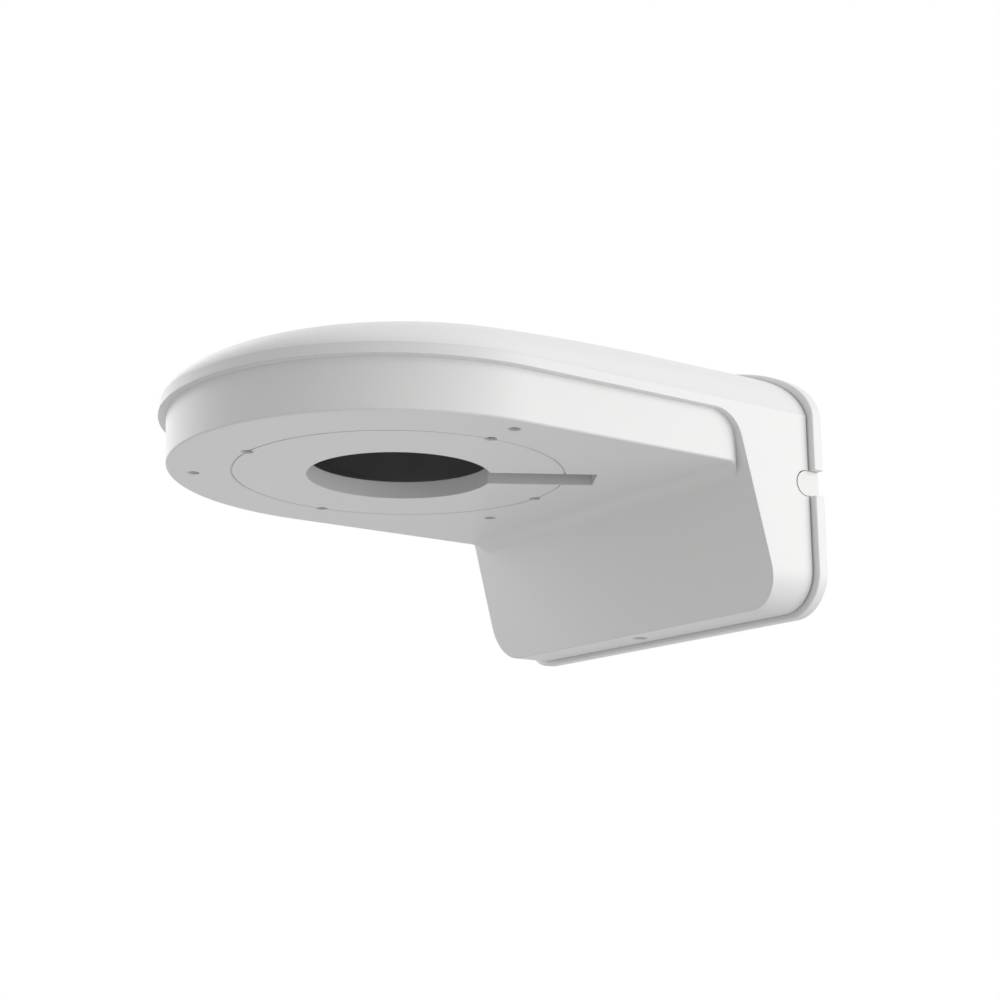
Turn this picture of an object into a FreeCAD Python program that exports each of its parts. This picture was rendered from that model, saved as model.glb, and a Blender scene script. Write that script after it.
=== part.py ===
import FreeCAD, Part
import math
import os
import Sketcher

doc = FreeCAD.newDocument("camera_wall_bracket")
Vector = FreeCAD.Vector

# Driving dimensions, millimetres and degrees.
# The wall is the plane y = 0, the arm reaches out along -Y, and z = 0 is the underside of the arm.
SIZES = [
    ("reach", 94.2, "wall to the centre of the round head"),
    ("lip_radius", 66.2, "radius of the head over its lip"),
    ("lip_flare", 0.7, "how much further out the lip lies where the arm meets the wall plate"),
    ("arm_inset", 2.7, "lip to the recessed lower wall, round the head"),
    ("arm_rear_inset", 2.5, "lip to the recessed lower wall, at its rear"),
    ("arm_rear_gap", 24.2, "wall to the rear of the recessed lower wall"),
    ("arm_rear_round", 6.0, "plan rounding of the recessed wall at its rear"),
    ("arm_depth", 13.4, "height of the recessed lower wall, up to the lip"),
    ("arm_draft", 2.5, "draft of the recessed lower wall, degrees"),
    ("lip_height", 2.9, "height of the upright band of the lip"),
    ("lip_shelf", 0.15, "ledge left where the crown starts inside the band"),
    ("crown_rise", 23.6, "height of the crown above the band"),
    ("crown_level", 54.5, "head centre to the place where the crown becomes level"),
    ("crown_fall", 0.57, "power of the curve by which the crown falls to the tip"),
    ("crown_tip_angle", 12.4, "angle on the ellipse where the crown starts at the tip, degrees"),
    ("crown_rear_angle", 6.9, "the same angle where the crown meets the wall plate"),
    ("front_top_gap", 25.8, "wall to the sloping front face, level with the underside of the arm"),
    ("front_foot_gap", 15.7, "wall to the sloping front face at its foot"),
    ("foot_drop", 37.95, "underside of the arm to the foot of the housing"),
    ("foot_round", 11.0, "rounding of the two lower corners of the housing"),
    ("step_round", 9.0, "rounding where the lip turns down along the front face"),
    ("front_round", 5.0, "rounding between the underside and the front face"),
    ("wall", 3.0, "thickness of the cast wall"),
    ("floor", 5.0, "thickness of the camera mounting face"),
    ("plate_thick", 3.2, "thickness of the wall plate"),
    ("seam_gap", 0.4, "thickness of the gasket between housing and wall plate"),
    ("hole_radius", 25.6, "radius of the cable opening under the camera"),
    ("slot_width", 12.0, "width of the radial slot beside the cable opening"),
    ("slot_reach", 54.6, "head centre to the square end of the slot"),
    ("slot_turn", 60.0, "direction of the slot, degrees from +X"),
    ("scribe_radius", 46.0, "radius of the scribed circle and of the inner screw holes"),
    ("scribe_width", 0.5, "width of the scribed line"),
    ("scribe_depth", 0.4, "depth of the scribed line"),
    ("outer_pitch", 56.5, "radius on which the outer screw holes sit"),
    ("tap_diameter", 3.4, "bore of the tapped camera holes"),
    ("plate_border", 1.9, "how far the wall plate stands out past the sides of the housing"),
    ("plate_foot_border", 1.35, "how far it stands out below the foot"),
    ("plate_top_border", 0.5, "how far it stands out over the crest of the crown"),
    ("plate_corner", 12.0, "rounding of the lower corners of the wall plate"),
    ("plate_lean", 3.0, "angle on the ellipse where the arch of the wall plate starts, degrees"),
    ("fit_gap", 0.4, "clearance between the plate's rim and the cavity of the housing"),
    ("rim_thick", 2.5, "thickness of the rim that locates the housing"),
    ("rim_depth", 4.0, "how far the rim stands out from the plate"),
    ("rim_top", 10.0, "level where the rim ends on both sides"),
    ("cable_radius", 18.0, "radius of the cable opening in the wall plate"),
    ("fixing_across", 96.0, "distance across between the wall fixing holes"),
    ("fixing_up", 44.0, "distance in height between the wall fixing holes"),
    ("fixing_diameter", 5.5, "wall fixing holes"),
    ("screw_gap", 9.9, "wall to the axis of the locking screw"),
    ("screw_diameter", 4.0, "locking screw, outside of the thread"),
    ("screw_length", 8.0, "length of the locking screw"),
    ("screw_sink", 0.9, "how deep the locking screw sits in the foot"),
    ("screw_hex", 2.0, "width across the flats of its socket"),
    ("screw_hex_depth", 2.5, "depth of its socket"),
    ("screw_access", 4.5, "hole in the foot of the housing for the locking screw"),
    ("screw_play", 0.05, "play between the locking screw and its hole, all round"),
    ("lug_half", 7.0, "half width of the lug that takes the locking screw"),
    ("lug_thick", 5.0, "thickness of that lug"),
    ("lug_past", 3.0, "axis of the locking screw to the front of that lug"),
    ("hook_place", 26.0, "centre of the housing to each hook"),
    ("hook_width", 12.0, "width of a hook"),
    ("hook_thick", 3.0, "thickness of a hook's tongue"),
    ("hook_drop", 14.9, "crest of the crown down to the top of the tongue"),
    ("hook_nose", 4.0, "height of the nose over the tongue"),
    ("hook_nose_thick", 2.5, "thickness of the nose"),
    ("rib_gap", 2.2, "plate to the rib that hangs on the hooks"),
    ("rib_thick", 3.0, "thickness of that rib"),
    ("rib_half", 36.0, "half length of that rib"),
    ("hang_play", 0.3, "play between the rib and the hooks"),
    ("entry_depth", 8.2, "wall to the round end of the side cable entry"),
    ("entry_radius", 3.65, "half height of the side cable entry"),
    ("entry_level", -3.2, "level of the centre of the side cable entry"),
    ("entry_inset", 5.4, "side of the housing to the inner end of the cable entry"),
    ("gate_gap", 1.0, "room in the rim above and below the flange of the plug"),
    ("plug_play", 0.15, "play round the plug of the side cable entry"),
    ("plug_flange", 1.6, "how far the plug's flange stands past its outline"),
    ("plug_flange_thick", 1.4, "thickness of the plug's flange"),
    ("gasket_inset", 0.6, "outside of the housing to the edge of the gasket"),
    ("gasket_width", 1.8, "width of the gasket"),
    ("edge_break", 0.35, "small bevel that takes the sharpness off outer edges"),
]


def make_sheet(rows):
    """Fill the sheet: text in column A, value with its alias in column B, meaning in column C."""
    made = doc.addObject("Spreadsheet::Sheet", "sizes")
    for number, (name, value, meaning) in enumerate(rows, start=1):
        made.set("A%d" % number, name)
        made.set("B%d" % number, str(value))
        made.set("C%d" % number, meaning)
        made.setAlias("B%d" % number, name)
    doc.recompute()
    return made


sheet = make_sheet(SIZES)
size = {name: float(sheet.get(name)) for name, _, _ in SIZES}


def origin_plane(body, role):
    """The body's own base plane with this role."""
    for feature in body.Origin.OriginFeatures:
        if feature.Role == role:
            return feature
    raise RuntimeError("no plane " + role)


def new_body(name, base=None):
    """A body, empty or grown from another solid of the document."""
    body = doc.addObject("PartDesign::Body", name)
    if base is not None:
        body.BaseFeature = base
        doc.recompute()
    return body


def new_sketch(body, name, role, level=None):
    """A sketch on one of the body's base planes, moved along its normal by an expression."""
    sketch = body.newObject("Sketcher::SketchObject", name)
    sketch.AttachmentSupport = (origin_plane(body, role), "")
    sketch.MapMode = "FlatFace"
    if level is not None:
        sketch.setExpression(".AttachmentOffset.Base.z", level)
    doc.recompute()
    return sketch


def value_of(sketch, expression):
    """The number that an expression gives now."""
    return float(getattr(sketch.evalExpression(expression), "Value", sketch.evalExpression(expression)))


def pin(sketch, geometry, end, x_text, y_text):
    """Tie a point of the sketch to the origin by two expressions; None puts it on that axis."""
    for kind, text, axis in (("DistanceX", x_text, -2), ("DistanceY", y_text, -1)):
        if text is None:
            sketch.addConstraint(Sketcher.Constraint("PointOnObject", geometry, end, axis))
            continue
        number = sketch.addConstraint(
            Sketcher.Constraint(kind, -1, 1, geometry, end, value_of(sketch, text)))
        sketch.setExpression("Constraints[%d]" % number, text)


def polygon(sketch, corners):
    """A closed outline of straight lines through corners given as pairs of expressions."""
    points = [Vector(value_of(sketch, x or "0"), value_of(sketch, y or "0"), 0) for x, y in corners]
    count = len(points)
    for index in range(count):
        sketch.addGeometry(Part.LineSegment(points[index], points[(index + 1) % count]))
    for index in range(count):
        sketch.addConstraint(Sketcher.Constraint("Coincident", index, 2, (index + 1) % count, 1))
        pin(sketch, index, 1, *corners[index])


def head_outline(sketch, radius, rear_half, rear_gap):
    """Plan of the arm: a round head about the camera's axis, running back in two near-parallel sides."""
    r = value_of(sketch, radius)
    half = value_of(sketch, rear_half)
    rear = -value_of(sketch, rear_gap)
    centre = Vector(0, -size["reach"], 0)
    right = Vector(r, centre.y, 0)
    left = Vector(-r, centre.y, 0)
    sketch.addGeometry(Part.ArcOfCircle(Part.Circle(centre, Vector(0, 0, 1), r), math.pi, 2 * math.pi))
    sketch.addGeometry(Part.LineSegment(right, Vector(half, rear, 0)))
    sketch.addGeometry(Part.LineSegment(Vector(half, rear, 0), Vector(-half, rear, 0)))
    sketch.addGeometry(Part.LineSegment(Vector(-half, rear, 0), left))
    sketch.addConstraint(Sketcher.Constraint("Tangent", 0, 2, 1, 1))
    sketch.addConstraint(Sketcher.Constraint("Coincident", 1, 2, 2, 1))
    sketch.addConstraint(Sketcher.Constraint("Coincident", 2, 2, 3, 1))
    sketch.addConstraint(Sketcher.Constraint("Tangent", 3, 2, 0, 1))
    pin(sketch, 0, 3, None, "-sizes.reach")
    number = sketch.addConstraint(Sketcher.Constraint("Radius", 0, r))
    sketch.setExpression("Constraints[%d]" % number, radius)
    pin(sketch, 2, 1, rear_half, "-(%s)" % rear_gap)
    pin(sketch, 2, 2, "-(%s)" % rear_half, "-(%s)" % rear_gap)


def pad(body, sketch, name, length, back=None, draft=None, symmetric=False):
    """Extrude a sketch along its normal, also backwards if a second length is given."""
    made = body.newObject("PartDesign::Pad", name)
    made.Profile = sketch
    made.setExpression("Length", length)
    if back is not None:
        made.SideType = "Two sides"
        made.setExpression("Length2", back)
    if symmetric:
        made.SideType = "Symmetric"
    if draft is not None:
        made.setExpression("TaperAngle", draft)
    doc.recompute()
    return made


def edge_names(shape, test):
    """Names of the edges whose middle point and direction pass a test."""
    names = []
    for number, edge in enumerate(shape.Edges, start=1):
        middle = edge.valueAt((edge.FirstParameter + edge.LastParameter) / 2)
        ends = edge.valueAt(edge.LastParameter) - edge.valueAt(edge.FirstParameter)
        if ends.Length > 0 and test(middle, ends / ends.Length, edge):
            names.append("Edge%d" % number)
    return names


def fillet(body, base, name, radius, test):
    """Round the edges of a feature that pass a test."""
    names = edge_names(base.Shape, test)
    if not names:
        raise RuntimeError("no edge for " + name)
    made = body.newObject("PartDesign::Fillet", name)
    made.Base = (base, names)
    made.setExpression("Radius", radius)
    doc.recompute()
    return made


def bevel(body, base, name, width, test):
    """Break the edges of a feature that pass a test."""
    names = edge_names(base.Shape, test)
    if not names:
        raise RuntimeError("no edge for " + name)
    made = body.newObject("PartDesign::Chamfer", name)
    made.Base = (base, names)
    made.setExpression("Size", width)
    doc.recompute()
    return made


# Slope of the front face: how far it moves from the wall for each millimetre of height.
SLOPE = "((sizes.front_top_gap - sizes.front_foot_gap) / sizes.foot_drop)"
# Level where the crown starts, and level of its crest along the arm.
CREASE = "(sizes.arm_depth + sizes.lip_height)"
CREST = "(%s + sizes.crown_rise)" % CREASE
# Level of the top of the tongues on which the housing hangs.
HOOK_LEVEL = "(%s - sizes.hook_drop)" % CREST
# Wall to the rear edge of the housing.
SEAM = "(sizes.plate_thick + sizes.seam_gap)"
# Half widths where the arm meets the wall plate: of the lip and of the plate itself.
LIP_REAR = "(sizes.lip_radius + sizes.lip_flare)"
PLATE_HALF = "(%s + sizes.plate_border)" % LIP_REAR
# How far the side view of the arm follows the front face down, past the end of its rounding.
FRONT_DIP = "(2.4 * sizes.front_round)"
# How far a form runs past the object, a cut past its face, and a pad into what carries it.
PAST = "10"
CLEAR = "2"
ROOT = "0.5"
# Places this close count as the same one, and edges this near a place are at it.
TOUCH = 0.01
NEAR = 1.5
# A direction within 25 degrees of an axis runs along it.
ALONG = math.cos(math.radians(25))
crease = size["arm_depth"] + size["lip_height"]
seam = size["plate_thick"] + size["seam_gap"]


def front_y(height, inset):
    """Expression for the front face's y at a height, moved into the wall by an inset."""
    return "-(sizes.front_top_gap + %s * (%s)) + (%s) * sqrt(1 + %s ^ 2)" % (SLOPE, height, inset, SLOPE)


def along_x(at_y, at_z):
    """Test for an edge that runs along X through a point of the side view."""
    def test(middle, direction, edge):
        return (abs(direction.x) > ALONG and abs(middle.y - at_y) < TOUCH
                and abs(middle.z - at_z) < TOUCH)
    return test


def shell_form(tag, inset, rear_gap):
    """The full-width part below the crease: lip band, front face and foot, less an inset."""
    plan_body = new_body("plan_" + tag)
    plan = new_sketch(plan_body, "plan_outline_" + tag, "XY_Plane")
    head_outline(plan, "sizes.lip_radius - %s" % inset, "%s - %s" % (LIP_REAR, inset), rear_gap)
    pad(plan_body, plan, "plan_pad_" + tag, "%s + %s" % (CREASE, PAST), "sizes.foot_drop + " + PAST)

    side_body = new_body("side_" + tag)
    side = new_sketch(side_body, "side_outline_" + tag, "YZ_Plane")
    low = "sizes.arm_depth + %s" % inset
    foot = "-sizes.foot_drop + %s" % inset
    top = CREASE if inset == "0" else "(%s + sizes.lip_shelf)" % low
    tip = "-(sizes.reach + sizes.lip_radius + %s)" % PAST
    rear = "-(%s)" % rear_gap
    polygon(side, [(tip, low), (front_y(low, inset), low), (front_y(foot, inset), foot),
                   (rear, foot), (rear, top), (tip, top)])
    solid = pad(side_body, side, "side_pad_" + tag, "2 * (%s + %s)" % (LIP_REAR, PAST),
                symmetric=True)
    bend = along_x(value_of(side, front_y(low, inset)), value_of(side, low))
    fillet(side_body, solid, "step_round_" + tag, "sizes.step_round + %s" % inset, bend)

    both = doc.addObject("Part::Common", "shell_" + tag)
    both.Base = plan_body
    both.Tool = side_body
    doc.recompute()
    body = new_body("shell_rounded_" + tag, both)
    foot_z = value_of(side, foot)

    def lower_corner(middle, direction, edge):
        return abs(middle.z - foot_z) < TOUCH and abs(direction.y) > ALONG

    fillet(body, body.Tip, "foot_round_" + tag, "sizes.foot_round - %s" % inset, lower_corner)
    return body


def arm_form(tag, inset, floor_z):
    """The recessed lower wall of the arm with the rounding into the front face, less an inset."""
    plan_body = new_body("arm_plan_" + tag)
    plan = new_sketch(plan_body, "arm_outline_" + tag, "XY_Plane")
    head_outline(plan, "sizes.lip_radius - sizes.arm_inset - %s" % inset,
                 "%s - sizes.arm_rear_inset - %s" % (LIP_REAR, inset),
                 "sizes.arm_rear_gap - 2 * %s" % inset)
    solid = pad(plan_body, plan, "arm_pad_" + tag, "%s + %s" % (CREASE, CLEAR),
                "%s + %s" % (FRONT_DIP, CLEAR), draft="sizes.arm_draft")
    rear_y = -value_of(plan, "sizes.arm_rear_gap - 2 * %s" % inset)

    def rear_corner(middle, direction, edge):
        return abs(middle.y - rear_y) < NEAR and abs(direction.z) > ALONG

    fillet(plan_body, solid, "arm_rear_round_" + tag, "sizes.arm_rear_round", rear_corner)

    side_body = new_body("arm_side_" + tag)
    side = new_sketch(side_body, "arm_side_outline_" + tag, "YZ_Plane")
    below = "%s - %s" % (floor_z, FRONT_DIP)
    top = CREASE if inset == "0" else "(%s + 0.5 * %s)" % (CREASE, inset)
    tip = "-(sizes.reach + sizes.lip_radius + %s)" % PAST
    rear = "-(%s)" % SEAM
    polygon(side, [(tip, floor_z), (front_y(floor_z, inset), floor_z), (front_y(below, inset), below),
                   (rear, below), (rear, top), (tip, top)])
    solid = pad(side_body, side, "arm_side_pad_" + tag, "2 * (%s + %s)" % (LIP_REAR, PAST),
                symmetric=True)
    bend = along_x(value_of(side, front_y(floor_z, inset)), value_of(side, floor_z))
    fillet(side_body, solid, "front_round_" + tag, "sizes.front_round + %s" % inset, bend)

    both = doc.addObject("Part::Common", "arm_" + tag)
    both.Base = plan_body
    both.Tool = side_body
    doc.recompute()
    return both


# Angle round the head at which the first section lies behind the tip.
TIP_START = 0.04
CORNER_WEIGHT = math.sqrt(0.5)


def crown_section(inset, station):
    """Half-ellipse across the crown at a distance behind the head's axis: its poles, widest first.

    The ellipse passes through the outline of the band at the crease. It is as wide as the plan, and
    its height is constant along the arm and falls to nothing round the tip of the head.
    """
    radius = size["lip_radius"] - size["lip_shelf"] - inset
    length = size["reach"] - seam
    widening = size["lip_flare"] / length
    level = size["crown_level"]
    half = math.sqrt(radius ** 2 - station ** 2) if station < 0 else radius + widening * station
    share = min(max((level - station) / (level + radius), 0), 1)
    height = (size["crown_rise"] - inset) * (1 - share ** 2) ** size["crown_fall"]
    blend = min(max(station / length, 0), 1)
    angle = math.radians(size["crown_tip_angle"]
                         + (size["crown_rear_angle"] - size["crown_tip_angle"]) * blend)
    across = half / math.cos(angle)
    up = height / (1 - math.sin(angle))
    base = crease - up * math.sin(angle)
    y = station - size["reach"]
    return [Vector(across, y, base), Vector(across, y, base + up), Vector(0, y, base + up),
            Vector(-across, y, base + up), Vector(-across, y, base)]


def tip_turns(spans, crowding):
    """Angles round the head, from its tip to its widest place, closer together near the tip."""
    return [TIP_START + (math.pi / 2 - TIP_START) * (i / spans) ** crowding
            for i in range(spans + 1)]


def crown_patch(section, marks):
    """A smooth surface through the sections at these marks, with true slopes at both ends."""
    nudge = 0.001
    rows = [section(mark) for mark in marks]
    after = section(marks[0] + nudge)
    before = section(marks[-1] - nudge)
    curves = []
    for column in range(len(rows[0])):
        curve = Part.BSplineCurve()
        curve.interpolate(
            Points=[row[column] for row in rows], Parameters=marks,
            InitialTangent=(after[column] - rows[0][column]) / nudge, Scale=False,
            FinalTangent=(rows[-1][column] - before[column]) / nudge)
        curves.append(curve)
    poles = [curve.getPoles() for curve in curves]
    surface = Part.BSplineSurface()
    surface.buildFromPolesMultsKnots(
        poles, [3, 2, 3], curves[0].getMultiplicities(), [0.0, 1.0, 2.0], curves[0].getKnots(),
        False, False, 2, curves[0].Degree,
        [[weight] * len(poles[0]) for weight in (1, CORNER_WEIGHT, 1, CORNER_WEIGHT, 1)])
    return surface.toShape()


def section_wire(poles):
    """The half-ellipse of a section, closed by its chord."""
    right, _, crest, _, left = poles
    middle = (right + left) / 2
    ellipse = Part.Ellipse(right, crest, middle)
    return Part.Wire([Part.ArcOfEllipse(ellipse, 0, math.pi).toShape(), Part.makeLine(left, right)])


def above(shape, bottom):
    """What of a shape lies over a level."""
    room = 2 * (size["reach"] + size["lip_radius"])
    return shape.common(Part.makeBox(room, room, room, Vector(-room / 2, -room, bottom)))


def outer_crown_solid():
    """The space under the crown: patches round the head and along the arm, then a level stretch."""
    radius = size["lip_radius"] - size["lip_shelf"]
    level = size["crown_level"]
    head = crown_patch(lambda turn: crown_section(0, -radius * math.cos(turn)),
                       tip_turns(spans=3, crowding=1.6))
    arm = crown_patch(lambda place: crown_section(0, place), [0, level / 2, level])
    ends = [section_wire(crown_section(0, place)) for place in (level, size["reach"] - seam)]
    space = Part.makeLoft(ends, True, True)
    for patch in (arm, head):
        down = patch.extrude(Vector(0, 0, -2 * size["crown_rise"]))
        space = space.fuse(above(down, crease - size["lip_shelf"]))
    return above(space, crease - size["lip_shelf"])


def inner_crown_solid(tip_spans, arm_spans):
    """The cavity under the crown, a wall's thickness inside it and made of ruled spans.

    Its spans crowd towards the tip, where the crown bends most.
    """
    inset = size["wall"]
    radius = size["lip_radius"] - size["lip_shelf"] - inset
    stations = [-radius * math.cos(turn) for turn in tip_turns(tip_spans, crowding=1.3)]
    stations += [size["reach"] * i / arm_spans for i in range(1, arm_spans + 1)]
    wires = [section_wire(crown_section(inset, station)) for station in stations]
    return above(Part.makeLoft(wires, True, True), size["arm_depth"] + inset)


outer_shell = shell_form("outer", "0", SEAM)
inner_shell = shell_form("inner", "sizes.wall", "0")
outer_arm = arm_form("outer", "0", "0")
inner_arm = arm_form("inner", "sizes.wall", "sizes.floor")
outer_crown = doc.addObject("Part::Feature", "crown_outer")
outer_crown.Shape = outer_crown_solid()
inner_crown = doc.addObject("Part::Feature", "crown_inner")
inner_crown.Shape = inner_crown_solid(tip_spans=10, arm_spans=8)
doc.recompute()


def joined(name, members):
    """One solid from several that overlap."""
    made = doc.addObject("Part::MultiFuse", name)
    made.Shapes = members
    made.Refine = True
    doc.recompute()
    return made


def circle(sketch, x_text, y_text, radius):
    """A circle whose centre and radius are expressions."""
    centre = Vector(value_of(sketch, x_text or "0"), value_of(sketch, y_text or "0"), 0)
    number = sketch.addGeometry(Part.Circle(centre, Vector(0, 0, 1), value_of(sketch, radius)))
    pin(sketch, number, 3, x_text, y_text)
    held = sketch.addConstraint(Sketcher.Constraint("Radius", number, value_of(sketch, radius)))
    sketch.setExpression("Constraints[%d]" % held, radius)


def head_sketch(body, name, level, turn=None):
    """A sketch square to Z whose own origin lies on the axis of the round head."""
    sketch = new_sketch(body, name, "XY_Plane", level)
    sketch.setExpression(".AttachmentOffset.Base.y", "-sizes.reach")
    if turn is not None:
        sketch.setExpression(".AttachmentOffset.Rotation.Angle", turn)
    doc.recompute()
    return sketch


def pocket(body, sketch, name, length, along_normal=True):
    """Cut a sketch into the body, and make sure that something was cut."""
    before = body.Tip.Shape.Volume
    made = body.newObject("PartDesign::Pocket", name)
    made.Profile = sketch
    made.setExpression("Length", length)
    made.Reversed = along_normal
    doc.recompute()
    if made.Shape.Volume > before - TOUCH:
        raise RuntimeError("nothing cut by " + name)
    return made


def ring_of(body, feature, name, sketch, count):
    """Repeat a feature evenly about the origin of a sketch."""
    made = body.newObject("PartDesign::PolarPattern", name)
    made.Originals = [feature]
    made.Axis = (sketch, ["N_Axis"])
    made.Angle = 360
    made.Occurrences = count
    body.Tip = made
    doc.recompute()
    return made


def u_outline(sketch, depth, level, radius, back):
    """A slot that is open towards the wall and round at its other end, in a view along X."""
    r = value_of(sketch, radius)
    y = -(value_of(sketch, depth) - r)
    z = value_of(sketch, level)
    end = value_of(sketch, back)
    sketch.addGeometry(Part.LineSegment(Vector(end, z + r, 0), Vector(y, z + r, 0)))
    sketch.addGeometry(Part.ArcOfCircle(Part.Circle(Vector(y, z, 0), Vector(0, 0, 1), r),
                                        math.pi / 2, 3 * math.pi / 2))
    sketch.addGeometry(Part.LineSegment(Vector(y, z - r, 0), Vector(end, z - r, 0)))
    sketch.addGeometry(Part.LineSegment(Vector(end, z - r, 0), Vector(end, z + r, 0)))
    sketch.addConstraint(Sketcher.Constraint("Tangent", 0, 2, 1, 1))
    sketch.addConstraint(Sketcher.Constraint("Tangent", 1, 2, 2, 1))
    sketch.addConstraint(Sketcher.Constraint("Coincident", 2, 2, 3, 1))
    sketch.addConstraint(Sketcher.Constraint("Coincident", 3, 2, 0, 1))
    sketch.addConstraint(Sketcher.Constraint("Vertical", 3))
    pin(sketch, 1, 3, "-(%s - %s)" % (depth, radius), level)
    number = sketch.addConstraint(Sketcher.Constraint("Radius", 1, r))
    sketch.setExpression("Constraints[%d]" % number, radius)
    sketch.addConstraint(Sketcher.Constraint("Horizontal", 0))
    number = sketch.addConstraint(Sketcher.Constraint("DistanceX", -1, 1, 3, 1, end))
    sketch.setExpression("Constraints[%d]" % number, back)


def foot_corners(sketch, first, half, foot, corner, top):
    """Sides, round lower corners and foot of an outline in the wall's plane, as an open chain."""
    w = value_of(sketch, half)
    low = value_of(sketch, foot)
    r = value_of(sketch, corner)
    high = value_of(sketch, top)
    flat = Vector(0, 0, 1)
    sketch.addGeometry(Part.LineSegment(Vector(-w, high, 0), Vector(-w, low + r, 0)))
    sketch.addGeometry(Part.ArcOfCircle(Part.Circle(Vector(-w + r, low + r, 0), flat, r),
                                        math.pi, 1.5 * math.pi))
    sketch.addGeometry(Part.LineSegment(Vector(-w + r, low, 0), Vector(w - r, low, 0)))
    sketch.addGeometry(Part.ArcOfCircle(Part.Circle(Vector(w - r, low + r, 0), flat, r),
                                        1.5 * math.pi, 2 * math.pi))
    sketch.addGeometry(Part.LineSegment(Vector(w, low + r, 0), Vector(w, high, 0)))
    for step in range(4):
        sketch.addConstraint(Sketcher.Constraint("Tangent", first + step, 2, first + step + 1, 1))
    pin(sketch, first, 1, "-(%s)" % half, top)
    pin(sketch, first + 4, 2, half, top)
    sketch.addConstraint(Sketcher.Constraint("Horizontal", first + 2))
    sketch.addConstraint(Sketcher.Constraint("Vertical", first))
    sketch.addConstraint(Sketcher.Constraint("Vertical", first + 4))
    for step in (1, 3):
        number = sketch.addConstraint(Sketcher.Constraint("Radius", first + step, r))
        sketch.setExpression("Constraints[%d]" % number, corner)
    number = sketch.addConstraint(Sketcher.Constraint("DistanceY", -1, 1, first + 2, 1, low))
    sketch.setExpression("Constraints[%d]" % number, foot)


def arch_outline(sketch, half, foot, corner, top, lean):
    """Outline in the wall's plane: round lower corners, upright sides and half an ellipse on top."""
    first = len(sketch.Geometry)
    foot_corners(sketch, first, half, foot, corner, CREASE)
    w = value_of(sketch, half)
    angle = math.radians(value_of(sketch, lean))
    rise = value_of(sketch, top) - crease
    across = w / math.cos(angle)
    up = rise / (1 - math.sin(angle))
    centre = Vector(0, crease - up * math.sin(angle), 0)
    ellipse = Part.Ellipse(centre + Vector(across, 0, 0), centre + Vector(0, up, 0), centre)
    arc = sketch.addGeometry(Part.ArcOfEllipse(ellipse, angle, math.pi - angle))
    sketch.addConstraint(Sketcher.Constraint("Coincident", first + 4, 2, arc, 1))
    sketch.addConstraint(Sketcher.Constraint("Coincident", arc, 2, first, 1))
    level = "%s - (%s - %s) * sin(%s) / (1 - sin(%s))" % (CREASE, top, CREASE, lean, lean)
    pin(sketch, arc, 3, None, level)
    crest = sketch.addGeometry(Part.Point(Vector(0, value_of(sketch, top), 0)), True)
    pin(sketch, crest, 1, None, top)
    sketch.addConstraint(Sketcher.Constraint("PointOnObject", crest, 1, arc))


outer_form = joined("outer_form", [outer_shell, outer_arm, outer_crown])
cavity_form = joined("cavity_form", [inner_shell, inner_arm, inner_crown])
hollow = doc.addObject("Part::Cut", "hollow")
hollow.Base = outer_form
hollow.Tool = cavity_form
doc.recompute()

rib_block = doc.addObject("Part::Box", "rib_block")
rib_block.setExpression("Length", "2 * sizes.rib_half")
rib_block.setExpression("Width", "sizes.rib_thick")
rib_block.setExpression("Height", "sizes.crown_rise")
rib_block.setExpression("Placement.Base.x", "-sizes.rib_half")
rib_block.setExpression("Placement.Base.y", "-(sizes.plate_thick + sizes.rib_gap + sizes.rib_thick)")
rib_block.setExpression("Placement.Base.z", HOOK_LEVEL + " + sizes.hang_play")
hanging_rib = doc.addObject("Part::Common", "hanging_rib")
hanging_rib.Base = rib_block
hanging_rib.Tool = outer_form
doc.recompute()
casting = joined("casting", [hollow, hanging_rib])

# The housing: one casting with its openings and a small bevel round its underside.
housing = new_body("housing", casting)
past_floor = "sizes.floor + " + CLEAR


def under_rim(middle, direction, edge):
    """The outline of the underside of the arm, short of the rounding into the front face."""
    return (abs(middle.z) < TOUCH
            and middle.y < -(size["front_top_gap"] + 2 * size["front_round"]))


bevel(housing, housing.Tip, "under_rim_bevel", "sizes.edge_break", under_rim)

scribe = head_sketch(housing, "scribed_circle", "0")
circle(scribe, None, None, "sizes.scribe_radius - 0.5 * sizes.scribe_width")
circle(scribe, None, None, "sizes.scribe_radius + 0.5 * sizes.scribe_width")
pocket(housing, scribe, "scribed_line", "sizes.scribe_depth")

opening = head_sketch(housing, "camera_opening", "0")
circle(opening, None, None, "sizes.hole_radius")
pocket(housing, opening, "camera_opening_cut", past_floor)

slot = head_sketch(housing, "cable_slot", "0", "sizes.slot_turn")
slot_side = "0.5 * sizes.slot_width"
polygon(slot, [("0.5 * sizes.hole_radius", "-" + slot_side), ("sizes.slot_reach", "-" + slot_side),
               ("sizes.slot_reach", slot_side), ("0.5 * sizes.hole_radius", slot_side)])
pocket(housing, slot, "cable_slot_cut", past_floor)

inner_hole = head_sketch(housing, "inner_hole", "0")
circle(inner_hole, "sizes.scribe_radius", None, "0.5 * sizes.tap_diameter")
inner_cut = pocket(housing, inner_hole, "inner_hole_cut", past_floor)
ring_of(housing, inner_cut, "inner_hole_ring", inner_hole, count=4)
outer_hole = head_sketch(housing, "outer_hole", "0")
circle(outer_hole, "sizes.outer_pitch", None, "0.5 * sizes.tap_diameter")
outer_cut = pocket(housing, outer_hole, "outer_hole_cut", past_floor)
ring_of(housing, outer_cut, "outer_hole_ring", outer_hole, count=3)

side_entry = new_sketch(housing, "side_entry", "YZ_Plane",
                        "%s - sizes.wall - %s" % (LIP_REAR, CLEAR))
u_outline(side_entry, "sizes.entry_depth", "sizes.entry_level", "sizes.entry_radius", CLEAR)
pocket(housing, side_entry, "side_entry_cut", "sizes.wall + 2 * " + CLEAR)

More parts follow.
